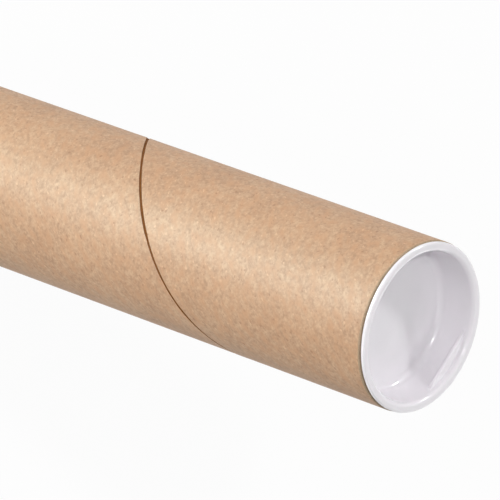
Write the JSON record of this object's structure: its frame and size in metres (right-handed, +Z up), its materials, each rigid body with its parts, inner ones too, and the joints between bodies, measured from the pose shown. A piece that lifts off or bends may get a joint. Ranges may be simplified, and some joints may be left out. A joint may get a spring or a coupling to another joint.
{
  "type": "cardboard mailing tube",
  "caption": "Spiral-wound kraft mailing tube with a recessed white plastic plug pressed into each end, for posting and storing rolled sheets.",
  "frame": {"origin": "middle of the lower plug's rim, on the surface that the tube stands on", "axes": "+Z up along the tube, towards the plug that the picture shows"},
  "size_m": [0.0538, 0.0538, 0.308],
  "materials": {
    "kraft_paperboard": "matt unbleached kraft with a faint calendered sheen",
    "white_plastic": "smooth moulded polyethylene, satin gloss"
  },
  "bodies": {
    "bottom_cap": {"bottom_cap": "white_plastic"},
    "tube": {"tube": "kraft_paperboard"},
    "top_cap": {"top_cap": "white_plastic"}
  },
  "joints": [
    {"name": "tube_lift", "type": "slide", "parent": "bottom_cap", "child": "tube", "axis": [0, 0, 1], "range_m": [0, 0.08]},
    {"name": "top_cap_pull", "type": "slide", "parent": "tube", "child": "top_cap", "axis": [0, 0, 1], "range_m": [0, 0.08]}
  ]
}
